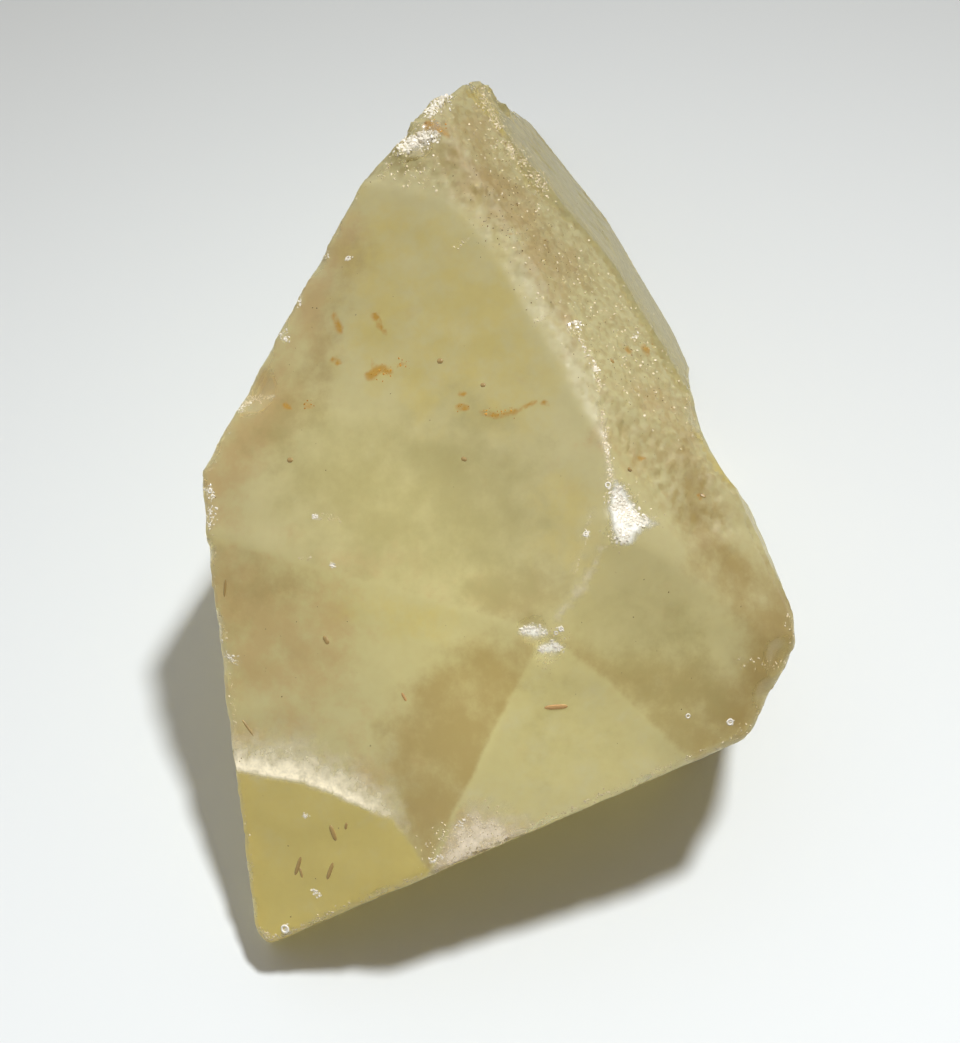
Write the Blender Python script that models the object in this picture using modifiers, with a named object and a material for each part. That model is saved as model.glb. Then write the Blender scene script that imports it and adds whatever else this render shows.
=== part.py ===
"""Raw lemon quartz point: one stout crystal that lies on the broken, flat face it was parted from."""
import math

import bmesh
import bpy
from mathutils import Matrix, Vector

MM = 0.001

# Driving dimensions, in millimetres and degrees.
CORE = (0.0, 0.1, 12.0)  # the middle of the crystal, which every face is measured from
ROUGH_BLOCK = 140.0     # side of the block the crystal is cut from
EDGE_WEAR = 0.35        # rounding of the worn edges
EDGE_WEAR_STEPS = 2
SHARPEST_KEPT = 8.0     # faces that meet at less than this stay unrounded

# A face is (bearing, lean, reach). The bearing is the compass direction it looks to, clockwise
# from +Y. The lean is how far its outward normal is tipped from straight up: 0 is level,
# 90 stands plumb, and more than 90 overhangs. The reach is its distance from the core.
POINT_FACES = {
    "broad": (223.8, 24.7, 16.37),
    "left": (214.2, 39.3, 19.51),
    "front": (168.7, 48.1, 24.54),
    "right": (156.5, 42.2, 23.27),
    "etched_lower": (108.8, 34.5, 20.11),
    "etched_upper": (69.6, 44.7, 16.54),
}
BODY_FACES = {
    "front_wall": (155.5, 108.0, 29.22),
    "corner_wall": (113.2, 105.9, 25.35),
    "corner_slip": (85.2, 90.5, 19.76),
    "right_wall": (70.7, 72.7, 15.39),
    "back_wall": (64.8, 68.6, 15.03),
    "back_slope": (57.6, 64.2, 15.77),
    "tail_wall": (310.5, 67.8, 20.31),
    "left_wall": (300.0, 85.1, 15.32),
    "toe_wall": (267.0, 97.7, 20.62),
}
# Small faces where the apex and the sharp corners were bruised off.
BRUISES = {
    "apex_bruise": (186.0, 34.0, 21.52),
    "toe_bruise": (227.8, 98.0, 38.81),
}

# A chip is a shallow shell-shaped scoop: where its middle lies on the edge (x, y, z), the bearing
# and lean it is struck from, the radius of its bowl, and how deep it bites.
CHIPS = {
    "tail_chip_low": ((-8.2, 12.0, 31.2), 290.0, 48.0, 3.6, 0.60),
    "tail_chip_mid": ((-6.4, 13.5, 32.2), 280.0, 50.0, 2.8, 0.50),
    "tail_chip_high": ((-4.9, 14.8, 33.1), 300.0, 44.0, 3.4, 0.65),
    "left_nick": ((-21.2, -10.9, 19.6), 255.0, 62.0, 2.6, 0.40),
    "toe_nick": ((-20.0, -20.1, 14.4), 248.0, 68.0, 3.0, 0.40),
    "ridge_nick": ((8.5, -15.0, 27.6), 135.0, 28.0, 4.0, 0.45),
}
CHIP_STEPS = 4

# The long flute down the right wall, where the rim is drawn in.
FLUTE_CENTRE = (25.6, -0.7, 20.7)
FLUTE_WIDTH = 22.0
FLUTE_LENGTH = 160.0
FLUTE_BEARING = 6.0
FLUTE_LEAN = 151.0


def clear_scene():
    for item in list(bpy.data.objects):
        bpy.data.objects.remove(item, do_unlink=True)


def new_collection(name):
    collection = bpy.data.collections.new(name)
    bpy.context.scene.collection.children.link(collection)
    return collection


def direction(bearing, lean):
    """Unit vector that looks to a compass bearing, tipped over from straight up."""
    turn, tip = math.radians(bearing), math.radians(lean)
    return Vector((math.sin(turn) * math.sin(tip), math.cos(turn) * math.sin(tip), math.cos(tip)))


def quartz_material():
    """Lemon quartz: a pale greenish yellow glassy stone with an etched, satin skin."""
    material = bpy.data.materials.new("lemon_quartz")
    material.use_nodes = True
    shader = material.node_tree.nodes["Principled BSDF"]
    shader.inputs["Base Color"].default_value = (0.56, 0.50, 0.27, 1.0)
    shader.inputs["Roughness"].default_value = 0.35
    shader.inputs["Metallic"].default_value = 0.0
    shader.inputs["IOR"].default_value = 1.544
    return material


def cut_face(mesh, through, outward):
    """Cuts the solid flat at a plane and caps the cut."""
    geometry = mesh.verts[:] + mesh.edges[:] + mesh.faces[:]
    result = bmesh.ops.bisect_plane(
        mesh, geom=geometry, plane_co=through, plane_no=outward, clear_outer=True, dist=1e-7)
    rim = [edge for edge in result["geom_cut"] if isinstance(edge, bmesh.types.BMEdge)]
    if rim:
        bmesh.ops.edgeloop_fill(mesh, edges=rim)


def crystal_mesh():
    """The faceted crystal: a block cut back to each natural face, to the bruises and to the base."""
    mesh = bmesh.new()
    bmesh.ops.create_cube(mesh, size=ROUGH_BLOCK * MM)
    core = Vector(CORE) * MM
    for faces in (POINT_FACES, BODY_FACES, BRUISES):
        for bearing, lean, reach in faces.values():
            outward = direction(bearing, lean)
            cut_face(mesh, core + outward * reach * MM, outward)
    cut_face(mesh, Vector((0.0, 0.0, 0.0)), Vector((0.0, 0.0, -1.0)))
    bmesh.ops.recalc_face_normals(mesh, faces=mesh.faces[:])
    return mesh


def add_crystal(collection):
    mesh = crystal_mesh()
    data = bpy.data.meshes.new("crystal")
    mesh.to_mesh(data)
    mesh.free()
    data.materials.append(quartz_material())
    crystal = bpy.data.objects.new("crystal", data)
    collection.objects.link(crystal)
    wear = crystal.modifiers.new("edge_wear", "BEVEL")
    wear.width = EDGE_WEAR * MM
    wear.segments = EDGE_WEAR_STEPS
    wear.limit_method = "ANGLE"
    wear.angle_limit = math.radians(SHARPEST_KEPT)
    return crystal


def add_cutter(collection, name, mesh):
    """Turns a bmesh into a hidden wire cutter."""
    data = bpy.data.meshes.new(name)
    mesh.to_mesh(data)
    mesh.free()
    cutter = bpy.data.objects.new(name, data)
    cutter.hide_render = True
    cutter.display_type = "WIRE"
    collection.objects.link(cutter)
    return cutter


def add_chip(collection, name, spot, bearing, lean, bowl, bite):
    """A ball set over the edge so that only its lowest cap bites into the stone."""
    mesh = bmesh.new()
    bmesh.ops.create_icosphere(mesh, subdivisions=CHIP_STEPS, radius=bowl * MM)
    centre = Vector(spot) + direction(bearing, lean) * (bowl - bite)
    bmesh.ops.translate(mesh, verts=mesh.verts[:], vec=centre * MM)
    return add_cutter(collection, name, mesh)


def add_flute(collection):
    """A long ball, stood down the right wall, that draws the rim in."""
    mesh = bmesh.new()
    bmesh.ops.create_icosphere(mesh, subdivisions=CHIP_STEPS, radius=0.5 * MM)
    stretch = Matrix.Diagonal((FLUTE_WIDTH, FLUTE_WIDTH, FLUTE_LENGTH, 1.0))
    lay = direction(FLUTE_BEARING, FLUTE_LEAN).to_track_quat("Z", "Y").to_matrix().to_4x4()
    place = Matrix.Translation(Vector(FLUTE_CENTRE) * MM)
    bmesh.ops.transform(mesh, matrix=place @ lay @ stretch, verts=mesh.verts[:])
    return add_cutter(collection, "right_flute", mesh)


def cut_with(crystal, cutter):
    scoop = crystal.modifiers.new(cutter.name, "BOOLEAN")
    scoop.operation = "DIFFERENCE"
    scoop.solver = "EXACT"
    scoop.object = cutter


def main():
    clear_scene()
    parts = new_collection("lemon_quartz_point")
    cutters = new_collection("cutters")
    crystal = add_crystal(parts)
    cut_with(crystal, add_flute(cutters))
    for name, chip in CHIPS.items():
        cut_with(crystal, add_chip(cutters, name, *chip))


main()
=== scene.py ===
import math
import random

import bpy
from mathutils import Matrix, Vector
from mathutils.bvhtree import BVHTree
from mathutils.kdtree import KDTree


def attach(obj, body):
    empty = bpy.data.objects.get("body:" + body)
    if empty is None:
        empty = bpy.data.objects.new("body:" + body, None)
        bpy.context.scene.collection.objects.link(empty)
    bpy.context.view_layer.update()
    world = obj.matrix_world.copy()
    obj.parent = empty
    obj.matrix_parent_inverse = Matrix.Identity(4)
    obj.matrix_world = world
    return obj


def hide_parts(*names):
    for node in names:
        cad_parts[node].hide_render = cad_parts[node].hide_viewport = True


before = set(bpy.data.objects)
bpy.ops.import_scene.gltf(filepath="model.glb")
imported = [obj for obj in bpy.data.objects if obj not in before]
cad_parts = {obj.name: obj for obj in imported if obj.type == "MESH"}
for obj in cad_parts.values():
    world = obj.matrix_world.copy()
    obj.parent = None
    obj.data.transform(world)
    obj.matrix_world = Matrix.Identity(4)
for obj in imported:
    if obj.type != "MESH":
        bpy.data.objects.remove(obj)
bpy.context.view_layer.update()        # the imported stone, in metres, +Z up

mm = 0.001
quartzIor = 1.544
bpy.ops.object.select_all(action="DESELECT")
print("frame loaded")


# small helpers

def toLinear(hexColour):
    values = [int(hexColour[i:i + 2], 16) / 255 for i in (1, 3, 5)]
    return [v / 12.92 if v <= 0.04045 else ((v + 0.055) / 1.055) ** 2.4 for v in values] + [1.0]


def addNode(tree, kind, settings=None, inputs=None, links=None):
    node = tree.nodes.new(kind)
    for name, value in (settings or {}).items():
        setattr(node, name, value)
    for name, value in (inputs or {}).items():
        node.inputs[name].default_value = value
    for name, socket in (links or {}).items():
        tree.links.new(socket, node.inputs[name])
    return node


def newMaterial(name):
    material = bpy.data.materials.new(name)
    material.use_nodes = True
    material.node_tree.nodes.clear()
    return material, material.node_tree


def heading(bearing, lean):          # bearing clockwise from +Y, lean down from straight up
    turn, tip = math.radians(bearing), math.radians(lean)
    return Vector((math.sin(turn) * math.sin(tip), math.cos(turn) * math.sin(tip), math.cos(tip)))


def pickOnly(item):
    bpy.ops.object.select_all(action="DESELECT")
    item.select_set(True)
    bpy.context.view_layer.objects.active = item


def applyModifier(item, kind, settings):
    modifier = item.modifiers.new(kind.lower(), kind)
    for name, value in settings.items():
        setattr(modifier, name, value)
    pickOnly(item)
    bpy.ops.object.modifier_apply(modifier=modifier.name)


def joinAll(items, name):
    bpy.ops.object.select_all(action="DESELECT")
    for item in items:
        item.select_set(True)
    bpy.context.view_layer.objects.active = items[0]
    if len(items) > 1:
        bpy.ops.object.join()
    joined = bpy.context.object
    joined.name = name
    return joined


def sealIn(item, material):          # a piece inside the stone rides with it
    item.data.materials.clear()
    item.data.materials.append(material)
    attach(item, "root")


# camera

cameraSet = {
    "place": (-1.12, -91.55, 176.67),     # mm
    "tilt": 27.0,                         # degrees up from looking straight down
    "lens": 84.2,
    "sensor": 36.0,
    "frame": (960, 1043),                 # px across and down
}


def addCamera():
    bpy.ops.object.camera_add(
        location=[v * mm for v in cameraSet["place"]], rotation=(math.radians(cameraSet["tilt"]), 0, 0))
    camera = bpy.context.object
    camera.name = "camera"
    camera.data.lens = cameraSet["lens"]
    camera.data.sensor_width = cameraSet["sensor"]
    camera.data.clip_start = 0.005
    camera.data.dof.use_dof = False
    bpy.context.scene.camera = camera


def sightLine(across, down):         # from the camera through a point of the frame, in px
    wide, high = cameraSet["frame"]
    reach = cameraSet["lens"] / cameraSet["sensor"] * high
    line = Vector((across - wide / 2, high / 2 - down, -reach)).normalized()
    line.rotate(Matrix.Rotation(math.radians(cameraSet["tilt"]), 3, "X"))
    return Vector(cameraSet["place"]) * mm, line


def inFrame(place):                  # where a place falls in the frame, in px across and down
    wide, high = cameraSet["frame"]
    reach = cameraSet["lens"] / cameraSet["sensor"] * high
    seen = place - Vector(cameraSet["place"]) * mm
    seen.rotate(Matrix.Rotation(-math.radians(cameraSet["tilt"]), 3, "X"))
    return wide / 2 - seen.x / seen.z * reach, high / 2 + seen.y / seen.z * reach


def skinOf(item):                    # the item's skin, ready to be looked at from the camera
    return BVHTree.FromObject(item, bpy.context.evaluated_depsgraph_get())


def spotOn(skin, across, down, tries=30):     # where a point of the frame falls on the skin, and its normal
    wide, high = cameraSet["frame"]
    for nudge in range(tries):       # a point just off the outline slides in to it
        eye, line = sightLine(across + (wide / 2 - across) * 0.006 * nudge,
                              down + (high / 2 - down) * 0.006 * nudge)
        place, normal, face, away = skin.ray_cast(eye, line)
        if place:
            return place, normal
    return None


# light

lightSet = {
    "keyFrom": (40.0, 22.0),             # bearing, lean from straight up
    "keyAway": 900.0,                    # mm
    "keySize": 105.0,
    "keyAim": (6.0, -138.0),             # mm, where the floor is brightest
    "keyCone": 31.0,                     # degrees, fading all the way out
    "keyWatts": 37.4,
    "keyColour": "#FDFEFF",
    "roomFront": ("#FFB650", 0.09),      # a dim warm room in front, and its strength
    "roomBack": ("#F4F4F0", 0.79),       # the window side, behind and to the left
    "windowWay": (-0.6, 0.8, 0.0),
    "roomFade": (-0.5, 0.8),             # where the room turns from front to window side
}


def addLights():
    away = heading(*lightSet["keyFrom"]) * lightSet["keyAway"] * mm
    aim = Vector((*lightSet["keyAim"], 0.0)) * mm
    turn = (away - aim).to_track_quat("Z", "Y").to_euler()
    bpy.ops.object.light_add(type="SPOT", location=away, rotation=turn)
    key = bpy.context.object
    key.name = "keyLight"
    key.data.shadow_soft_size = lightSet["keySize"] / 2 * mm
    key.data.spot_size = math.radians(lightSet["keyCone"])
    key.data.spot_blend = 1.0
    key.data.energy = lightSet["keyWatts"]
    key.data.color = toLinear(lightSet["keyColour"])[:3]
    world = bpy.data.worlds.new("room")
    bpy.context.scene.world = world
    world.use_nodes = True
    world.cycles.sampling_method = "NONE"      # the room is even, so it needs no light samples
    world.node_tree.nodes.clear()
    tree = world.node_tree
    way = addNode(tree, "ShaderNodeTexCoord").outputs["Generated"]
    turned = addNode(tree, "ShaderNodeVectorMath", {"operation": "DOT_PRODUCT"},
                     inputs={1: lightSet["windowWay"]}, links={0: way})
    fadeStart, fadeEnd = lightSet["roomFade"]
    share = addNode(tree, "ShaderNodeMapRange", inputs={"From Min": fadeStart, "From Max": fadeEnd},
                    links={"Value": turned.outputs["Value"]})
    front, back = ([v * strength for v in toLinear(colour)[:3]] + [1.0]
                   for colour, strength in (lightSet["roomFront"], lightSet["roomBack"]))
    mixed = addNode(tree, "ShaderNodeMix", {"data_type": "RGBA"}, inputs={6: front, 7: back},
                    links={0: share.outputs[0]})
    room = addNode(tree, "ShaderNodeBackground", links={"Color": mixed.outputs[2]})
    addNode(tree, "ShaderNodeOutputWorld", links={"Surface": room.outputs[0]})
    bpy.context.scene.view_settings.view_transform = "Standard"


# floor: matt white board

floorSet = {
    "size": 8000.0,     # mm
    "colour": "#DBE0E2",
}


def addFloor():
    bpy.ops.mesh.primitive_plane_add(size=floorSet["size"] * mm)
    floor = bpy.context.object
    floor.name = "floor"
    material, tree = newMaterial("mattWhiteBoard")
    shader = addNode(tree, "ShaderNodeBsdfPrincipled", inputs={
        "Base Color": toLinear(floorSet["colour"]), "Roughness": 0.7})
    addNode(tree, "ShaderNodeOutputMaterial", links={"Surface": shader.outputs[0]})
    floor.data.materials.append(material)


# the stone: quartz that grew as a point, etched to satin, bruised along its edges

stoneSet = {
    "voxel": 0.35,             # mm between points of the fine mesh
    "soften": 4,               # passes that round the worn edges
    "ridgeSoften": 60,         # and the etched ridge, which is rounder
    "ridgeReach": 2.2,         # mm, how far from the ridge it is worn
    "swell": (9.0, 0.16),      # slow waviness: mm across, mm deep
    "pits": (2.2, 0.015),      # fine etching all over
    "scales": (1.5, 0.55),     # coarse etching on the scaly side
    "striae": (2.2, 0.10),     # growth lines across the side walls
    "scalyBorder": 24,         # px, how softly the scaly side ends
    "leastScaly": 0.12,        # a trace of its look is everywhere
    "calmBase": 1.2,           # mm above the base where the skin is fully etched
    "lumpSeed": 5,
    "scalyFacing": (69.6, 44.7, 20),     # bearing, lean, spread of the scaly side, degrees
    "grain": 0.6,              # mm across, in gloss and grit
    "clouds": 3.0,             # mm across, in the stains
    "satin": (0.34, 0.46),     # roughness of the etched skin
    "matt": 0.62,              # of the scaly side
    "glassy": 0.2,             # of a fresh chip
    "see": 0.72,               # share of light that goes through
    "depth": ("#F4EA70", 15.0),          # colour it turns inside the stone, and how soon
    "clear": "#FFF7C9",        # the skin's own colour where nothing stains it
    "grit": "#C8A862",         # beige grit between the scales
}
zoneLooks = {                  # colour, how strongly clouds break it up, where it starts to show and is full
    "pink": ("#F2D6A8", 2.6, 0.15, 1.15),
    "brown": ("#D2B884", 2.0, 0.15, 1.15),
    "golden": ("#FFEC98", 1.6, 0.15, 1.05),
    # a darker, greyer tone: the back strip's tint, and also painted shade on faces
    "olive": ("#DDD4A2", 1.6, 0.15, 1.15),
    # a whitish tone: haze above the cream band, and painted light on the front face
    "pale": ("#FFFDEA", 2.0, 0.15, 1.15),
    "iron": ("#EAB048", 2.0, 0.42, 1.00),
}
faces = {                      # outlines of the faces (px), which cut the stains off sharply
    "broad": [(430, 90), (350, 170), (190, 470), (196, 532), (545, 633), (612, 524), (616, 500), (599, 372)],
    "left": [(545, 633), (196, 532), (245, 960), (428, 880), (455, 812), (498, 724)],
    "right": [(820, 640), (690, 440), (616, 500), (612, 524), (545, 633), (610, 686), (696, 766), (750, 750)],
    "front": [(545, 633), (498, 724), (455, 812), (428, 880), (696, 766), (610, 686)],
    "aboveFoot": [(225, 770), (300, 783), (337, 797), (368, 812), (390, 820), (402, 836), (412, 834), (425, 700),
                  (220, 650)],
}
backStrip = [(484, 70), (525, 95), (620, 215), (680, 325), (702, 400), (678, 378), (630, 292), (598, 242),
             (562, 207), (530, 177), (512, 145)]
zoneSet = {
    # share, soft border (px), face that cuts it off or None, outline across, down (px)
    "pink": [
        (0.9, 40, None, [(195, 482), (240, 398), (295, 290), (345, 210), (366, 235), (335, 300), (302, 360),
                         (290, 430), (255, 475), (225, 525), (200, 525)]),
        (0.9, 60, "left", [(200, 530), (290, 560), (350, 620), (345, 700), (290, 715), (222, 700)]),
        (0.5, 50, None, [(612, 350), (700, 385), (725, 480), (640, 500), (606, 440)]),
        (0.5, 40, "left", [(225, 700), (300, 690), (385, 740), (400, 810), (300, 770), (225, 750)]),
        (0.7, 40, None, [(430, 140), (480, 95), (540, 190), (590, 260), (575, 330), (515, 255), (450, 190)]),
        (0.9, 30, "front", [(415, 868), (455, 806), (545, 818), (525, 850), (430, 882)]),
        (0.5, 60, "broad", [(300, 520), (420, 540), (510, 590), (430, 620), (300, 580)]),
        (0.6, 50, "left", [(380, 720), (440, 680), (480, 700), (450, 780), (400, 800)]),
    ],
    "brown": [
        (1.0, 44, "left", [(388, 830), (384, 730), (420, 670), (470, 630), (540, 640), (515, 740), (480, 800),
                           (455, 840), (430, 880), (400, 850)]),
        (0.9, 40, None, [(742, 580), (800, 600), (805, 655), (775, 710), (745, 745), (700, 755), (712, 690),
                         (735, 650)]),
        (0.7, 44, "broad", [(470, 560), (545, 550), (565, 600), (530, 632), (480, 625)]),
        (0.5, 26, None, [(385, 168), (430, 112), (470, 95), (505, 150), (570, 215), (610, 300), (560, 280),
                         (510, 215), (470, 175), (430, 160)]),
        (0.7, 44, None, [(235, 440), (300, 360), (325, 260), (352, 225), (376, 240), (342, 330), (312, 420),
                         (262, 475)]),
        (0.5, 50, "left", [(200, 530), (300, 555), (340, 600), (260, 620), (215, 650)]),
        (0.8, 40, None, [(668, 430), (700, 430), (745, 545), (800, 590), (800, 650), (740, 640), (685, 560)]),
        # painted shade along the worn ridge, darkening the band where it catches the key light
        (0.4, 30, None, [(430, 130), (470, 160), (520, 240), (577, 325), (606, 380), (612, 450), (592, 440),
                         (560, 340), (505, 250), (455, 175)]),
        # painted shade on the right face, so it steps darker from the front face
        (0.9, 50, "right", [(545, 636), (600, 655), (700, 650), (760, 700), (700, 775), (610, 700)]),
    ],
    "golden": [
        (0.6, 70, "broad", [(360, 190), (470, 190), (560, 320), (560, 440), (400, 430), (320, 330)]),
        (0.9, 5, None, backStrip),
        (1.0, 5, None, [(225, 765), (300, 778), (337, 792), (368, 807), (388, 814), (400, 829), (432, 874),
                        (340, 930), (250, 960)]),
        (0.5, 60, None, [(520, 450), (605, 480), (600, 570), (530, 580)]),
        (0.5, 50, "left", [(340, 560), (460, 600), (440, 650), (340, 620)]),
    ],
    # the back strip's tint; on the right, broad and front faces this zone is painted shade
    "olive": [
        (1.0, 5, None, backStrip),
        (0.5, 40, "right", [(560, 610), (640, 560), (700, 600), (740, 700), (690, 760), (620, 700)]),
        (0.9, 90, "broad", [(280, 430), (500, 400), (560, 520), (545, 610), (400, 590), (280, 540)]),
        (0.5, 60, "front", [(545, 660), (600, 700), (640, 770), (520, 800), (500, 740)]),
    ],
    "pale": [
        (0.4, 60, "left", [(222, 720), (310, 700), (390, 750), (410, 830), (330, 800), (222, 790)]),
        # painted light: lightens the whole front face
        (0.3, 30, "front", [(545, 633), (498, 724), (455, 812), (428, 880), (696, 766), (610, 686)]),
    ],
    "iron": [],                # its flecks are below
}
faceBorder = 7                 # px, how softly a face cuts a stain off
fleckSet = [                   # iron-stained flecks: reach, path across, down (px)
    (9, [(333, 314), (339, 329)]), (5, [(374, 315), (379, 321)]), (6, [(379, 326), (385, 332)]),
    (11, [(370, 375), (380, 368), (390, 372)]), (7, [(398, 365), (406, 364)]), (8, [(306, 404), (310, 406)]),
    (7, [(457, 406), (466, 408)]), (6, [(460, 393), (465, 394)]), (8, [(482, 412), (496, 416), (516, 411)]),
    (6, [(543, 402), (549, 404)]), (7, [(631, 345), (635, 348)]), (8, [(648, 343), (653, 349)]),
    (5, [(644, 456), (648, 458)]), (5, [(323, 640), (326, 642)]), (7, [(333, 360), (338, 363)]),
    (10, [(426, 120), (446, 131)]), (5, [(522, 408), (536, 401)]), (5, [(370, 360), (373, 362)]),
    (6, [(500, 226), (516, 232)]), (6, [(702, 494), (704, 497)]), (5, [(284, 405), (290, 408)])]
faceTones = {                  # bearing, lean, zone, share: tints that tell the faces apart all round
    "strip": (57.6, 64.2, "golden", 0.90),
    # painted shade: brown that darkens the back strip against its grazing sheen
    "stripShade": (57.6, 64.2, "brown", 0.45),
    "corner": (113.2, 105.9, "brown", 0.30),
    "toe": (267.0, 97.7, "golden", 0.50),
    "tail": (310.5, 67.8, "pink", 0.40),
}
faceSpread = 16                # degrees
scalySide = [(372, 172), (440, 88), (480, 84), (516, 150), (562, 205), (625, 285), (697, 400), (738, 530),
             (690, 540), (640, 480), (586, 400), (556, 336), (516, 272), (476, 214), (446, 190), (415, 182)]
etchedRidge = [(452, 120), (480, 165), (530, 250), (577, 330), (600, 376)]
chipSet = {
    "seed": 11,
    "perEdge": 2.4,            # mm between tries along an edge
    "bowl": (1.0, 2.6),        # mm, radius of the shell-shaped scoops
    "bite": (0.10, 0.34),      # mm
    "keep": 0.5,               # share of tries that leave a chip
    "sharp": 0.42,             # radians between two faces, for their edge to chip
    "shortest": 0.8,           # mm of edge
    "offBase": 2.5,            # mm above the base where chips start
    "offRidge": 3.0,           # mm around the worn ridge that stay free of them
    "skin": 0.12,              # mm around a scoop that look freshly broken
}
breakSet = {                   # the larger breaks: across, down (px), bearing, lean, bowl, bite (mm)
    "ridgeCorner": (624, 506, 130, 26, 2.6, 0.40),
    "ridgeFoot": (618, 531, 160, 30, 1.8, 0.28),
    "apexLeft": (532, 630, 205, 34, 1.8, 0.30),
    "apexFront": (548, 650, 170, 38, 2.0, 0.32),
    "tailGlint": (414, 144, 250, 22, 2.6, 0.36),
    "ridgeTop": (577, 325, 60, 30, 1.2, 0.18),
    "ridgeMiddle": (597, 371, 70, 30, 1.4, 0.22),
    "leftShell": (262, 400, 285, 40, 3.0, 0.28),
    "cornerFold": (772, 660, 120, 60, 3.4, 0.30),
    "cornerFoldLow": (762, 694, 130, 60, 2.4, 0.26),
}
lumpSet = [(402, 150, 1.7), (387, 164, 1.3), (416, 128, 1.6), (434, 107, 1.5), (424, 140, 1.2), (450, 98, 1.1),
           (489, 92, 1.3), (505, 110, 1.3), (482, 85, 1.2)]     # chunks at the tail: across, down (px), radius (mm)


def nearestOn(path, place):          # how far a place is from a path, and the way from it
    best = None
    for start, end in zip(path, path[1:]):
        along = end - start
        share = max(0.0, min(1.0, (place - start).dot(along) / along.length_squared))
        away = place - (start + along * share)
        if best is None or away.length < best.length:
            best = away
    return best


def copyNode(node, name):
    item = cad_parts[node].copy()
    item.data = item.data.copy()
    item.parent = None
    item.name = name
    for key in list(item.keys()):
        del item[key]
    bpy.context.scene.collection.objects.link(item)
    pickOnly(item)
    bpy.ops.object.mode_set(mode="EDIT")
    bpy.ops.mesh.select_all(action="SELECT")
    bpy.ops.mesh.remove_doubles(threshold=0.001 * mm)
    bpy.ops.object.mode_set(mode="OBJECT")
    return item


def sharpPoints(item, step):         # points along the edges where two faces of the stone meet
    normals = {}
    for face in item.data.polygons:
        for edge in face.edge_keys:
            normals.setdefault(edge, []).append(face.normal)
    points = []
    for (a, b), sides in normals.items():
        start, end = item.data.vertices[a].co, item.data.vertices[b].co
        length = (end - start).length
        if len(sides) == 2 and sides[0].angle(sides[1], 0) > chipSet["sharp"] and length > chipSet["shortest"] * mm:
            steps = max(1, int(length / (step * mm)))
            outward = (sides[0] + sides[1]).normalized()
            points += [(start.lerp(end, (i + 0.5) / steps), outward) for i in range(steps)]
    return points


def addBall(place, outward, bowl, bite):
    bpy.ops.mesh.primitive_ico_sphere_add(
        subdivisions=3, radius=bowl * mm, location=place + outward * (bowl - bite) * mm)
    return bpy.context.object


def sortBalls(balls):                # balls that touch go into different groups, so each cut is clean
    groups = []
    for ball in balls:
        middle = ball[0] + ball[1] * (ball[2] - ball[3]) * mm
        for group in groups:
            if all((middle - other).length > (ball[2] + bowl + 0.1) * mm for other, bowl, entry in group):
                break
        else:
            group = []
            groups.append(group)
        group.append((middle, ball[2], ball))
    return [[entry for middle, bowl, entry in group] for group in groups]


def chipStone(stone):
    rng = random.Random(chipSet["seed"])
    skin = skinOf(stone)
    ridge = [spotOn(skin, *spot)[0] for spot in etchedRidge]
    balls = []
    for across, down, bearing, lean, bowl, bite in breakSet.values():
        place, normal = spotOn(skin, across, down)
        balls.append((place, heading(bearing, lean), bowl, bite))
    for place, outward in sharpPoints(stone, chipSet["perEdge"]):
        bowl, bite, chance = rng.uniform(*chipSet["bowl"]), rng.uniform(*chipSet["bite"]), rng.random()
        offRidge = nearestOn(ridge, place).length
        if chance < chipSet["keep"] and place.z > chipSet["offBase"] * mm and offRidge > chipSet["offRidge"] * mm:
            balls.append((place, outward, bowl, bite))
    for group in sortBalls(balls):
        cutter = joinAll([addBall(*ball) for ball in group], "chipBalls")
        applyModifier(stone, "BOOLEAN", {"operation": "DIFFERENCE", "solver": "EXACT", "object": cutter})
        bpy.data.objects.remove(cutter)
    print("stone chipped", len(balls), "times")
    return [(place + outward * (bowl - bite) * mm, bowl * mm) for place, outward, bowl, bite in balls]


def addLumps(stone):                 # broken chunks left standing at the tail
    rng = random.Random(stoneSet["lumpSeed"])
    skin = skinOf(stone)
    lumps = [stone]
    for across, down, size in lumpSet:
        place, normal = spotOn(skin, across, down)
        bpy.ops.mesh.primitive_ico_sphere_add(
            subdivisions=1, radius=size * mm, location=place - normal * 0.45 * size * mm,
            rotation=[rng.uniform(0, 6) for k in range(3)])
        lumps.append(bpy.context.object)
    joinAll(lumps, stone.name)


def addGroup(stone, name, weights):
    group = stone.vertex_groups.new(name=name)
    for i, weight in enumerate(weights):
        if weight > 0:
            group.add([i], weight, "REPLACE")
    return group.name


def facing(point, bearing, lean, spread):      # 1 where the skin looks about one way, fading to 0
    off = math.degrees(point.normal.angle(heading(bearing, lean), 0))
    return min(1.0, max(0.0, (spread - off) / (spread * 0.4)))


def lift(point):                     # 0 on the flat broken base, which stays flat, 1 above it
    return min(1.0, max(0.0, point.co.z / (stoneSet["calmBase"] * mm)))


def etch(stone, kind, settings, size, strength, group, squeeze=None):
    texture = bpy.data.textures.new("etch", kind)
    for name, value in settings.items():
        setattr(texture, name, value)
    bpy.ops.object.empty_add(location=(0, 0, 0))
    guide = bpy.context.object
    guide.scale = [size * mm * v for v in (squeeze or (1, 1, 1))]
    bpy.context.view_layer.update()
    applyModifier(stone, "DISPLACE", {
        "texture": texture, "texture_coords": "OBJECT", "texture_coords_object": guide,
        "strength": strength * mm, "mid_level": 1.0, "vertex_group": group})
    bpy.data.objects.remove(guide)


def insideBy(area, across, down):    # px from the border of an outline, below 0 outside it
    inside = False
    for (ax, ay), (bx, by) in zip(area, area[1:] + area[:1]):
        if (ay > down) != (by > down) and across < (bx - ax) * (down - ay) / (by - ay) + ax:
            inside = not inside
    away = nearestOn([Vector(p) for p in area + area[:1]], Vector((across, down))).length
    return away if inside else -away


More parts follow.
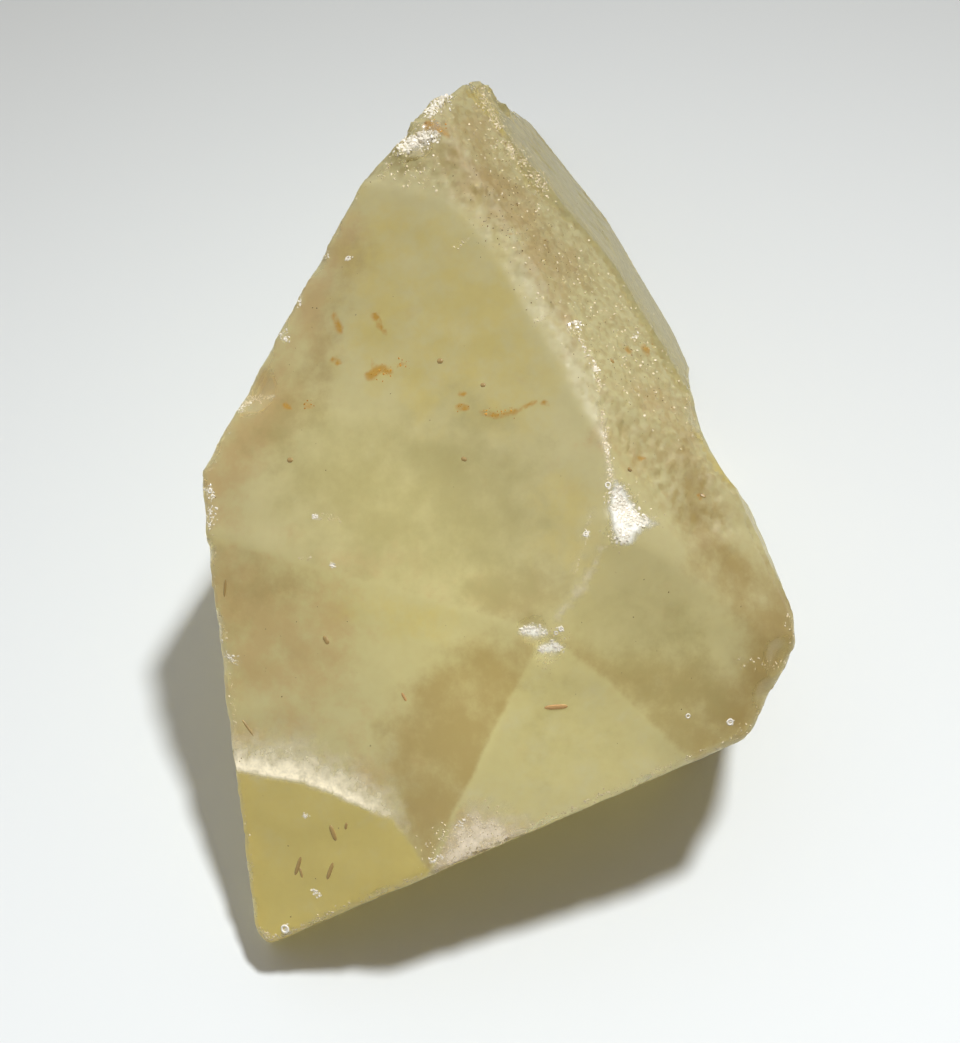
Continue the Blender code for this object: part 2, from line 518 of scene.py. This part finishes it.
def zoneValue(outline, soft, across, down):   # 1 well inside an outline, fading to 0 outside it
    if not (min(p[0] for p in outline) - soft < across < max(p[0] for p in outline) + soft
            and min(p[1] for p in outline) - soft < down < max(p[1] for p in outline) + soft):
        return 0.0
    return min(1.0, max(0.0, 0.5 + insideBy(outline, across, down) / soft))


def stainValue(entry, across, down):
    share, soft, face, outline = entry
    value = share * zoneValue(outline, soft, across, down)
    return value * zoneValue(faces[face], faceBorder, across, down) if value and face else value


def fleckValue(across, down):
    value = 0.0
    for reach, path in fleckSet:
        if abs(across - path[0][0]) < 60 and abs(down - path[0][1]) < 60:
            away = nearestOn([Vector(p) for p in path], Vector((across, down))).length
            value = max(value, 1 - away / reach)
    return value


def seenPoints(item):                # points the camera sees: index, across, down (px)
    eye = Vector(cameraSet["place"]) * mm
    skin = skinOf(item)
    seen = []
    for i, point in enumerate(item.data.vertices):
        away = point.co - eye
        if point.normal.dot(away) < 0:
            place, normal, face, reach = skin.ray_cast(eye, away.normalized())
            if reach is None or reach > away.length - 0.6 * mm:      # nothing stands in front of it
                seen.append((i, *inFrame(point.co)))
    return seen


def markPoints(item, name, values):
    item.data.attributes.new(name, "FLOAT", "POINT").data.foreach_set("value", values)


def markSkin(stone, seen, bowls):    # weights for the material: fresh chips, and the colour zones
    count = len(stone.data.vertices)
    tree = KDTree(count)
    for i, point in enumerate(stone.data.vertices):
        tree.insert(point.co, i)
    tree.balance()
    fresh = [0.0] * count
    near = chipSet["skin"] * mm
    for centre, bowl in bowls:
        for place, i, away in tree.find_range(centre, bowl + near):
            if away > bowl - near:
                fresh[i] = 1.0
    markPoints(stone, "fresh", fresh)
    for zone, entries in zoneSet.items():
        values = [0.0] * count
        for i, across, down in seen:
            for entry in entries:
                values[i] = max(values[i], stainValue(entry, across, down))
            if zone == "iron":
                values[i] = fleckValue(across, down)
        for bearing, lean, faceZone, share in faceTones.values():
            if faceZone == zone:
                for i, point in enumerate(stone.data.vertices):
                    values[i] = max(values[i], share * facing(point, bearing, lean, faceSpread))
        markPoints(stone, zone, values)


def quartzMaterial():
    # lemon quartz, natural etched skin: clear and yellow-green inside, satin outside
    material, tree = newMaterial("etchedLemonQuartz")
    spot = addNode(tree, "ShaderNodeTexCoord").outputs["Object"]
    fresh = addNode(tree, "ShaderNodeAttribute", {"attribute_name": "fresh"}).outputs["Fac"]

    # fine grain, for gloss and grit
    grain = addNode(tree, "ShaderNodeTexNoise", inputs={"Scale": 1 / (stoneSet["grain"] * mm), "Detail": 1.0},
                    links={"Vector": spot}).outputs["Fac"]
    scaly = addNode(tree, "ShaderNodeAttribute", {"attribute_name": "scaly"}).outputs["Fac"]

    # colour: clear yellow-green, stained in clouds, with painted light and shade on some faces; each zone breaks up
    # on a channel of its own
    clouds = addNode(tree, "ShaderNodeTexNoise", inputs={
        "Scale": 1 / (stoneSet["clouds"] * mm), "Detail": 5.0, "Roughness": 0.65}, links={"Vector": spot})
    channels = addNode(tree, "ShaderNodeSeparateColor", links={"Color": clouds.outputs["Color"]}).outputs
    colour = None
    for k, (zone, (tint, broken, start, full)) in enumerate(zoneLooks.items()):
        mask = addNode(tree, "ShaderNodeAttribute", {"attribute_name": zone}).outputs["Fac"]
        cloudy = addNode(tree, "ShaderNodeMath", {"operation": "MULTIPLY_ADD"}, inputs={1: broken, 2: -0.5 * broken},
                         links={0: channels[(k + k // 3) % 3]})
        patchy = addNode(tree, "ShaderNodeMath", {"operation": "ADD"}, links={0: mask, 1: cloudy.outputs[0]})
        share = addNode(tree, "ShaderNodeMapRange", {"interpolation_type": "SMOOTHSTEP"}, inputs={
            "From Min": start, "From Max": full}, links={"Value": patchy.outputs[0]})
        mixed = addNode(tree, "ShaderNodeMix", {"data_type": "RGBA"}, inputs={
            6: toLinear(stoneSet["clear"]), 7: toLinear(tint)}, links={0: share.outputs[0]})
        if colour:
            tree.links.new(colour, mixed.inputs[6])
        colour = mixed.outputs[2]
    gritty = addNode(tree, "ShaderNodeMapRange", inputs={"From Min": 0.42, "From Max": 0.64, "To Max": 0.4},
                     links={"Value": grain})
    onScales = addNode(tree, "ShaderNodeMath", {"operation": "MULTIPLY"}, links={0: gritty.outputs[0], 1: scaly})
    colour = addNode(tree, "ShaderNodeMix", {"data_type": "RGBA"}, inputs={7: toLinear(stoneSet["grit"])},
                     links={0: onScales.outputs[0], 6: colour}).outputs[2]

    # gloss: etched satin, matt on the scaly side, glassy where freshly chipped
    smooth, rough = stoneSet["satin"]
    satin = addNode(tree, "ShaderNodeMapRange", inputs={
        "From Min": 0.3, "From Max": 0.7, "To Min": smooth, "To Max": rough},
        links={"Value": grain})
    matt = addNode(tree, "ShaderNodeMix", {"data_type": "FLOAT"}, inputs={3: stoneSet["matt"]},
                   links={0: scaly, 2: satin.outputs[0]})
    gloss = addNode(tree, "ShaderNodeMix", {"data_type": "FLOAT"}, inputs={3: stoneSet["glassy"]},
                    links={0: fresh, 2: matt.outputs[0]})

    shader = addNode(tree, "ShaderNodeBsdfPrincipled", inputs={
        "IOR": quartzIor, "Transmission Weight": stoneSet["see"]},
        links={"Base Color": colour, "Roughness": gloss.outputs[0]})
    tint, density = stoneSet["depth"]
    absorb = addNode(tree, "ShaderNodeVolumeAbsorption", inputs={"Color": toLinear(tint), "Density": density})
    addNode(tree, "ShaderNodeOutputMaterial", links={
        "Surface": shader.outputs[0], "Volume": absorb.outputs[0]})
    return material


def makeStone():
    stone = copyNode("crystal", "lemonQuartz")
    bowls = chipStone(stone)
    skin = skinOf(stone)
    ridge = [spotOn(skin, *spot)[0] for spot in etchedRidge]
    addLumps(stone)
    applyModifier(stone, "REMESH", {"mode": "VOXEL", "voxel_size": stoneSet["voxel"] * mm})
    applyModifier(stone, "SMOOTH", {"factor": 0.5, "iterations": stoneSet["soften"]})
    reach = stoneSet["ridgeReach"] * mm
    worn = addGroup(stone, "wornRidge", [
        min(1.0, max(0.0, 1.8 - nearestOn(ridge, point.co).length / reach)) for point in stone.data.vertices])
    applyModifier(stone, "SMOOTH", {"factor": 0.5, "iterations": stoneSet["ridgeSoften"], "vertex_group": worn})
    seen = seenPoints(stone)
    markSkin(stone, seen, bowls)
    points = stone.data.vertices
    free = addGroup(stone, "offBase", [lift(point) for point in points])
    etch(stone, "CLOUDS", {"noise_depth": 0}, *stoneSet["swell"], free)
    etch(stone, "CLOUDS", {"noise_depth": 1}, *stoneSet["pits"], free)
    scaly = [facing(point, *stoneSet["scalyFacing"]) * lift(point) for point in points]
    for i, across, down in seen:
        scaly[i] = max(scaly[i], zoneValue(scalySide, stoneSet["scalyBorder"], across, down))
    markPoints(stone, "scaly", [max(value, stoneSet["leastScaly"]) for value in scaly])
    etch(stone, "CLOUDS", {"noise_depth": 1, "noise_type": "HARD_NOISE"}, *stoneSet["scales"],
         addGroup(stone, "scalySide", scaly), squeeze=(1.5, 0.8, 0.8))
    walls = [min(1.0, max(0.0, (0.5 - point.normal.z) * 4)) * lift(point) for point in points]
    etch(stone, "WOOD", {"wood_type": "BANDNOISE", "turbulence": 3.0}, *stoneSet["striae"],
         addGroup(stone, "sideWalls", walls), squeeze=(6, 6, 0.6))
    pickOnly(stone)
    bpy.ops.object.shade_smooth()
    stone.vertex_groups.clear()
    stone.data.materials.clear()
    stone.data.materials.append(quartzMaterial())
    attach(stone, "root")
    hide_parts("crystal")
    print("stone", len(stone.data.polygons), "faces")
    return stone, seen


# crushed quartz: loose grains and splinters along the bruises, the edges and the scaly side; white grains are also
# laid where glints show, as painted highlights

grainKinds = {
    "crushed": ("crushedQuartz", "#FFF9E8", 0.25),       # dust-fine cracks scatter the light: white, glinting; also laid where glints show, as painted highlights
    "worn": ("wornQuartzGrains", "#F1E3C0", 0.40),       # rubbed edges: cream, duller
    "goethite": ("goethiteSpecks", "#8A6A38", 0.55),     # iron oxide specks: earthy brown
    "limonite": ("limoniteStain", "#E8AC44", 0.60),      # and orange
}
bruiseSet = {
    # kind, count, spread (px), grain (mm), paths across, down (px)
    # partly painted highlight: these white grains also stand in for the corner's glint
    "brokenCorner": ("crushed", 700, 3.6, (0.08, 0.40), [
        [(616, 488), (619, 506), (626, 522)], [(622, 512), (646, 523)], [(622, 526), (624, 540)],
        [(620, 500), (628, 514)]]),
    "cornerFeathers": ("worn", 220, 6, (0.05, 0.20), [
        [(608, 484), (612, 500)], [(626, 522), (658, 520)], [(616, 525), (622, 545)], [(618, 480), (640, 508)]]),
    "apexBruise": ("crushed", 200, 1.8, (0.08, 0.34), [
        [(521, 632), (530, 627), (546, 632)], [(541, 650), (553, 645), (563, 649)]]),
    "apexDust": ("worn", 120, 5, (0.05, 0.18), [
        [(524, 632), (560, 634)], [(540, 640), (552, 668)], [(556, 628), (564, 640)]]),
    "tailBruise": ("crushed", 560, 4.0, (0.10, 0.46), [
        [(398, 150), (414, 143), (436, 136)], [(404, 141), (424, 138)], [(426, 114), (438, 104), (450, 97)]]),
    "tailDust": ("worn", 620, 9, (0.06, 0.28), [
        [(382, 166), (410, 176), (440, 170)], [(405, 130), (440, 100)], [(478, 88), (498, 126), (515, 155)],
        [(510, 150), (528, 168), (547, 190)], [(385, 160), (420, 150)]]),
    "tailRidge": ("worn", 420, 3.2, (0.08, 0.30), [
        [(478, 88), (490, 110), (500, 130)], [(506, 142), (516, 154), (528, 166)], [(532, 172), (547, 190)]]),
    "ridgeLine": ("worn", 420, 1.8, (0.06, 0.22), [
        [(572, 326), (584, 346), (596, 368), (600, 392)], [(602, 410), (607, 450), (612, 480)]]),
    # white grains laid where glints show: painted highlights
    "ridgeSparks": ("crushed", 90, 1.6, (0.06, 0.24), [
        [(572, 326), (584, 346), (596, 368)], [(604, 430), (607, 450), (612, 480)]]),
    "innerLine": ("worn", 60, 1.4, (0.05, 0.14), [[(592, 512), (584, 545), (575, 575)]]),
    # white grains laid where glints show: painted highlights
    "ridgeGlints": ("crushed", 130, 1.8, (0.10, 0.36), [
        [(575, 323), (580, 327)], [(593, 366), (598, 371)], [(634, 336), (638, 338)], [(586, 533), (588, 535)],
        [(559, 628), (562, 630)]]),
    "leftEdge": ("crushed", 360, 2.4, (0.08, 0.30), [
        [(207, 486), (212, 498)], [(210, 508), (211, 530)], [(217, 628), (222, 642)], [(223, 654), (240, 662)],
        [(294, 290), (300, 306)], [(283, 331), (287, 340)], [(240, 410), (246, 402)]]),
    "leftScratch": ("worn", 130, 1.2, (0.06, 0.20), [
        [(244, 404), (256, 398), (276, 396)], [(250, 396), (262, 402)]]),
    "leftRub": ("worn", 620, 2.4, (0.05, 0.20), [
        [(362, 182), (300, 290), (250, 385), (204, 476)],
        [(206, 500), (214, 570), (226, 660), (240, 760), (252, 900)]]),
    "bottomRub": ("worn", 900, 2.4, (0.06, 0.22), [
        [(258, 932), (275, 940), (330, 914), (430, 872), (520, 832), (620, 788), (744, 733)]]),
    "cornerRub": ("worn", 240, 4, (0.05, 0.22), [
        [(744, 734), (770, 706), (795, 650)], [(740, 660), (780, 668)], [(788, 610), (795, 640)]]),
    # white grains laid where glints show: painted highlights
    "sparks": ("crushed", 110, 1.5, (0.08, 0.28), [
        [(313, 516), (318, 518)], [(332, 564), (334, 566)], [(730, 722), (731, 724)], [(347, 258), (349, 259)],
        [(326, 255), (328, 256)]]),
    "sparkTails": ("worn", 110, 2.2, (0.05, 0.20), [
        [(318, 518), (338, 517)], [(300, 556), (312, 560)], [(454, 246), (471, 239)], [(534, 324), (546, 312)]]),
    # white grains laid where glints show: painted highlights
    "footSparks": ("crushed", 170, 1.8, (0.06, 0.28), [
        [(456, 826), (468, 818)], [(431, 862), (441, 856)], [(284, 928), (287, 931)], [(314, 890), (319, 896)],
        [(304, 814), (308, 818)]]),
    "footDust": ("worn", 520, 10, (0.05, 0.24), [[(436, 856), (452, 840), (474, 824), (506, 828)]]),
    "scalyWhite": ("worn", 900, 20, (0.05, 0.28), [
        [(470, 120), (530, 210), (590, 290), (650, 380)], [(560, 270), (640, 350), (690, 430)]]),
    "scalyBrown": ("goethite", 420, 20, (0.05, 0.17), [
        [(480, 150), (520, 215), (580, 300)], [(495, 195), (530, 235)], [(600, 330), (660, 420)]]),
    "skinSpecks": ("goethite", 80, 60, (0.05, 0.15), [
        [(260, 440), (360, 250)], [(250, 600), (420, 780)], [(480, 560), (700, 680)], [(280, 850), (340, 880)]]),
    "fleckGrains": ("limonite", 130, 3.0, (0.06, 0.22), [
        [(372, 375), (390, 370)], [(398, 365), (405, 364)], [(484, 413), (514, 412)], [(650, 344), (652, 349)],
        [(458, 407), (464, 408)], [(306, 404), (310, 406)], [(428, 122), (444, 130)]]),
}
grainSeed = 29


def grainMaterial(name, colour, rough):
    # broken grain of the stone or of its stain, and the white rings of painted glints: opaque, with fine unevenness
    # 0.2 mm across
    material, tree = newMaterial(name)
    spot = addNode(tree, "ShaderNodeTexCoord").outputs["Object"]
    noise = addNode(tree, "ShaderNodeTexNoise", inputs={"Scale": 1 / (0.2 * mm)}, links={"Vector": spot})
    dull = [v * 0.72 for v in toLinear(colour)[:3]] + [1.0]
    mixed = addNode(tree, "ShaderNodeMix", {"data_type": "RGBA"}, inputs={6: dull, 7: toLinear(colour)},
                    links={0: noise.outputs["Fac"]})
    shader = addNode(tree, "ShaderNodeBsdfPrincipled", inputs={"Roughness": rough, "IOR": quartzIor},
                     links={"Base Color": mixed.outputs[2]})
    addNode(tree, "ShaderNodeOutputMaterial", links={"Surface": shader.outputs[0]})
    return material


def makeGrain():                     # one splinter, modelled once
    bpy.ops.mesh.primitive_ico_sphere_add(subdivisions=1, radius=1.0)
    grain = bpy.context.object
    bpy.ops.object.mode_set(mode="EDIT")
    bpy.ops.mesh.select_all(action="SELECT")
    bpy.ops.transform.vertex_random(offset=0.25, seed=3)
    bpy.ops.mesh.normals_make_consistent(inside=False)
    bpy.ops.object.mode_set(mode="OBJECT")
    return grain


def scatterGrains(skin, name, settings, grain, material, rng):
    kind, count, spread, (small, large), paths = settings
    lengths = [sum(math.dist(a, b) for a, b in zip(path, path[1:])) + spread for path in paths]
    grains = []
    for k in range(count):
        path = rng.choices(paths, lengths)[0]
        step = rng.randrange(len(path) - 1)
        start, end = path[step:step + 2]
        share = rng.random()
        across = start[0] + (end[0] - start[0]) * share + rng.gauss(0, spread)
        down = start[1] + (end[1] - start[1]) * share + rng.gauss(0, spread)
        found = spotOn(skin, across, down, tries=1)
        if not found:
            continue
        place, normal = found
        size = (small + (large - small) * rng.random() ** 2.5) * mm / 2
        shape = Matrix.Diagonal((size, size * rng.uniform(0.35, 0.9), size * rng.uniform(0.2, 0.5), 1))
        turn = normal.to_track_quat("Z", "Y").to_matrix().to_4x4() @ Matrix.Rotation(rng.uniform(0, 6.28), 4, "Z")
        tip = Matrix.Rotation(rng.gauss(0, 0.35), 4, "X")
        mesh = grain.data.copy()
        mesh.transform(Matrix.Translation(place) @ turn @ tip @ shape)
        copy = bpy.data.objects.new(name, mesh)
        bpy.context.scene.collection.objects.link(copy)
        grains.append(copy)
    piece = joinAll(grains, name)
    sealIn(piece, material)
    return piece


# sealed at the skin: iron-oxide needles, and small white rings laid where glints show as rings: painted highlights

needleSet = {
    # kind, then for each needle: across, down (px), slant (degrees), length, width (px)
    "goethiteNeedles": ("needle", [
        (298, 866, 108, 20, 4), (301, 873, 75, 10, 3), (330, 871, 110, 18, 4), (333, 833, 70, 16, 5),
        (346, 826, 100, 7, 3), (225, 588, 95, 18, 3), (248, 728, 55, 20, 2.5), (464, 459, 20, 6, 4),
        (440, 361, 0, 6, 5), (290, 460, 0, 6, 5), (483, 385, 0, 5, 4), (702, 495, 40, 8, 4), (612, 361, 30, 6, 5),
        (326, 640, 60, 9, 5), (630, 470, 30, 8, 4)]),
    "limoniteSpindle": ("spindle", [(556, 707, -4, 22, 5), (404, 697, 60, 9, 3)]),
}
ringSet = [(608, 485, 6), (586, 534, 5.5), (561, 629, 5), (556, 633, 4), (285, 929, 9), (730, 722, 7), (210, 491, 5),
           (348, 258, 4), (688, 716, 5)]     # across, down, wide (px)
needleKinds = {
    "needle": ("goethiteCrystal", "#B2965E", 0.45),      # yellow-brown, a little glossy
    "spindle": ("limoniteCrystal", "#CFA56A", 0.70),     # orange-brown
    "ring": ("gasBubble", "#FFFDF4", 0.15),              # white ring: a painted glint
}
pixel = 0.074 * mm             # what one px of the frame covers on the stone


def layOn(skin, source, across, down, slant, shape, name):    # a copy of source laid flat on the skin
    place, normal = spotOn(skin, across, down)
    slant = math.radians(slant)
    ahead, aheadNormal = spotOn(skin, across + 8 * math.cos(slant), down + 8 * math.sin(slant))
    side = normal.cross(ahead - place).normalized()
    turn = Matrix((side.cross(normal), side, normal)).transposed().to_4x4()
    mesh = source.data.copy()
    mesh.transform(Matrix.Translation(place) @ turn @ Matrix.Diagonal((*shape, 1)))
    copy = bpy.data.objects.new(name, mesh)
    bpy.context.scene.collection.objects.link(copy)
    return copy


def makeSpindle():                   # a rod drawn out to a blunt point at each end
    bpy.ops.mesh.primitive_cylinder_add(vertices=8, radius=1.0, depth=1.0, rotation=(0, math.pi / 2, 0))
    bpy.ops.object.transform_apply(location=False, rotation=True, scale=False)
    spindle = bpy.context.object
    for turn in (1, -1):
        bpy.ops.object.mode_set(mode="EDIT")
        bpy.ops.mesh.select_mode(type="FACE")
        bpy.ops.mesh.select_all(action="DESELECT")
        bpy.ops.object.mode_set(mode="OBJECT")
        for face in spindle.data.polygons:
            face.select = face.normal.x * turn > 0.9
        bpy.ops.object.mode_set(mode="EDIT")
        for step, wide in ((0.3, 0.75), (0.2, 0.35)):
            bpy.ops.mesh.extrude_region_move(TRANSFORM_OT_translate={"value": (step * turn, 0, 0)})
            bpy.ops.transform.resize(value=(1, wide, wide))
        bpy.ops.object.mode_set(mode="OBJECT")
    return spindle


def addNeedles(skin):
    spindle = makeSpindle()
    for name, (kind, needles) in needleSet.items():
        laid = [layOn(skin, spindle, across, down, slant,
                      (wide * pixel / 2, thick * pixel / 2, thick * pixel / 4), name)
                for across, down, slant, wide, thick in needles]
        sealIn(joinAll(laid, name), grainMaterial(*needleKinds[kind]))
    bpy.data.objects.remove(spindle)
    # white rings laid where glints show as rings: painted highlights
    bpy.ops.mesh.primitive_torus_add(major_radius=1.0, minor_radius=0.34, major_segments=14, minor_segments=6)
    ring = bpy.context.object
    laid = [layOn(skin, ring, across, down, 0, [wide * pixel / 2.6] * 3, "gasBubbles")
            for across, down, wide in ringSet]
    sealIn(joinAll(laid, "gasBubbles"), grainMaterial(*needleKinds["ring"]))
    bpy.data.objects.remove(ring)
    print("needles and bubbles sealed")


# healed cracks, haze and painted highlights: films that lie on the skin and fade out into it

filmSet = {
    # kind, share, soft border (px), face that cuts it off or None, outline across, down (px)
    "creamBand": ("crackFilm", 1.0, 50, "aboveFoot", [
        (205, 738), (300, 750), (345, 768), (385, 796), (418, 870), (345, 860), (300, 842), (205, 824)]),
    "footPatch": ("footFilm", 0.9, 40, "front", [
        (420, 878), (448, 830), (472, 810), (510, 818), (530, 828), (510, 850), (430, 886)]),
    "cornerCrush": ("shatterFilm", 1.0, 10, None, [
        (614, 481), (624, 487), (631, 500), (640, 516), (659, 522), (643, 530), (630, 544), (618, 542), (612, 527),
        (609, 507)]),
    "apexCrush": ("shatterFilm", 0.8, 8, None, [(519, 632), (529, 624), (547, 630), (548, 636), (528, 638)]),
    "apexCrushLow": ("shatterFilm", 0.8, 8, None, [(538, 646), (556, 640), (566, 649), (556, 655), (541, 654)]),
    "tailCrush": ("shatterFilm", 0.6, 12, None, [
        (396, 152), (412, 140), (426, 124), (440, 116), (436, 138), (414, 150)]),
    # the streaks: whitish lines along the ridges, painted highlights of the rounded ridges
    "ridgeStreak": ("crackFilm", 0.5, 10, None, [
        (606, 544), (600, 568), (584, 596), (558, 622), (552, 618), (572, 590), (590, 562), (598, 544)]),
    "innerStreak": ("crackFilm", 0.35, 12, None, [
        (588, 505), (594, 507), (585, 548), (572, 574), (566, 572), (578, 545)]),
    "upperStreak": ("crackFilm", 0.45, 10, None, [
        (596, 396), (603, 396), (611, 445), (616, 484), (608, 484), (602, 445)]),
}
filmKinds = {                  # name, colour, grain (mm), how much of it is open, most cover
    "crackFilm": ("healedCrack", "#FFF4D4", 0.8, 0.10, 0.80),
    "footFilm": ("healedCrackPink", "#FFF0D8", 1.0, 0.15, 0.60),
    # white crushed quartz, which also stands in for the glint at these corners: partly painted highlight
    "shatterFilm": ("shatteredCorner", "#FFFEF2", 0.6, 0.10, 0.90),
}
filmLay = {
    "lift": 0.02,              # mm off the skin
    "thick": 0.015,            # mm
    "tilt": (20, 30),          # bearing, lean: one way for every film's normals, near the key light, so the films shade as if lit head-on: painted light
}


def filmMaterial(name, colour, grain, clear, most):
    # dust-fine crack surfaces in the quartz: a whitish film, patchy at the size of the cracks
    material, tree = newMaterial(name)
    spot = addNode(tree, "ShaderNodeTexCoord").outputs["Object"]
    strength = addNode(tree, "ShaderNodeAttribute", {"attribute_name": "strength"}).outputs["Fac"]
    noise = addNode(tree, "ShaderNodeTexNoise", inputs={
        "Scale": 1 / (grain * mm), "Detail": 4.0, "Roughness": 0.65}, links={"Vector": spot})
    ragged = addNode(tree, "ShaderNodeMath", {"operation": "MULTIPLY_ADD"}, inputs={1: 1.8, 2: -0.9},
                     links={0: noise.outputs["Fac"]})
    patchy = addNode(tree, "ShaderNodeMath", {"operation": "ADD"}, links={0: strength, 1: ragged.outputs[0]})
    share = addNode(tree, "ShaderNodeMapRange", inputs={
        "From Min": clear, "From Max": 1.1, "To Max": most}, links={"Value": patchy.outputs[0]})
    cover = addNode(tree, "ShaderNodeMath", {"operation": "MULTIPLY"}, links={0: share.outputs[0], 1: strength})
    shader = addNode(tree, "ShaderNodeBsdfPrincipled", inputs={
        "Base Color": toLinear(colour), "Roughness": 0.5, "IOR": quartzIor}, links={"Alpha": cover.outputs[0]})
    addNode(tree, "ShaderNodeOutputMaterial", links={"Surface": shader.outputs[0]})
    return material


def addFilm(stone, seen, name, settings, material):
    kind, *entry = settings
    pickOnly(stone)
    bpy.ops.object.duplicate()
    film = bpy.context.object
    film.name = name
    for key in list(film.keys()):
        del film[key]
    film.parent = None
    strength = [0.0] * len(film.data.vertices)
    for i, across, down in seen:
        strength[i] = stainValue(entry, across, down)
    markPoints(film, "strength", strength)
    for face in film.data.polygons:
        face.select = max(strength[i] for i in face.vertices) > 0
    bpy.ops.object.mode_set(mode="EDIT")
    bpy.ops.mesh.select_mode(type="FACE")
    bpy.ops.mesh.select_all(action="INVERT")
    bpy.ops.mesh.delete(type="FACE")
    bpy.ops.mesh.select_all(action="SELECT")
    bpy.ops.transform.shrink_fatten(value=filmLay["lift"] * mm)
    bpy.ops.object.mode_set(mode="OBJECT")
    applyModifier(film, "SOLIDIFY", {"thickness": filmLay["thick"] * mm, "offset": -1.0})
    # every film's normals point near the key light: painted light, by normals
    film.data.normals_split_custom_set_from_vertices([heading(*filmLay["tilt"])] * len(film.data.vertices))
    sealIn(film, material)
    return film


addCamera()
addLights()
addFloor()
stone, seen = makeStone()
skin = skinOf(stone)
rng = random.Random(grainSeed)
grain = makeGrain()
grainMaterials = {kind: grainMaterial(*look) for kind, look in grainKinds.items()}
for name, settings in bruiseSet.items():
    scatterGrains(skin, name, settings, grain, grainMaterials[settings[0]], rng)
bpy.data.objects.remove(grain)
print("grains laid on", len(bruiseSet), "bruises")
addNeedles(skin)
filmMaterials = {kind: filmMaterial(*look) for kind, look in filmKinds.items()}
for name, settings in filmSet.items():
    addFilm(stone, seen, name, settings, filmMaterials[settings[0]])
print("films laid", len(filmSet))
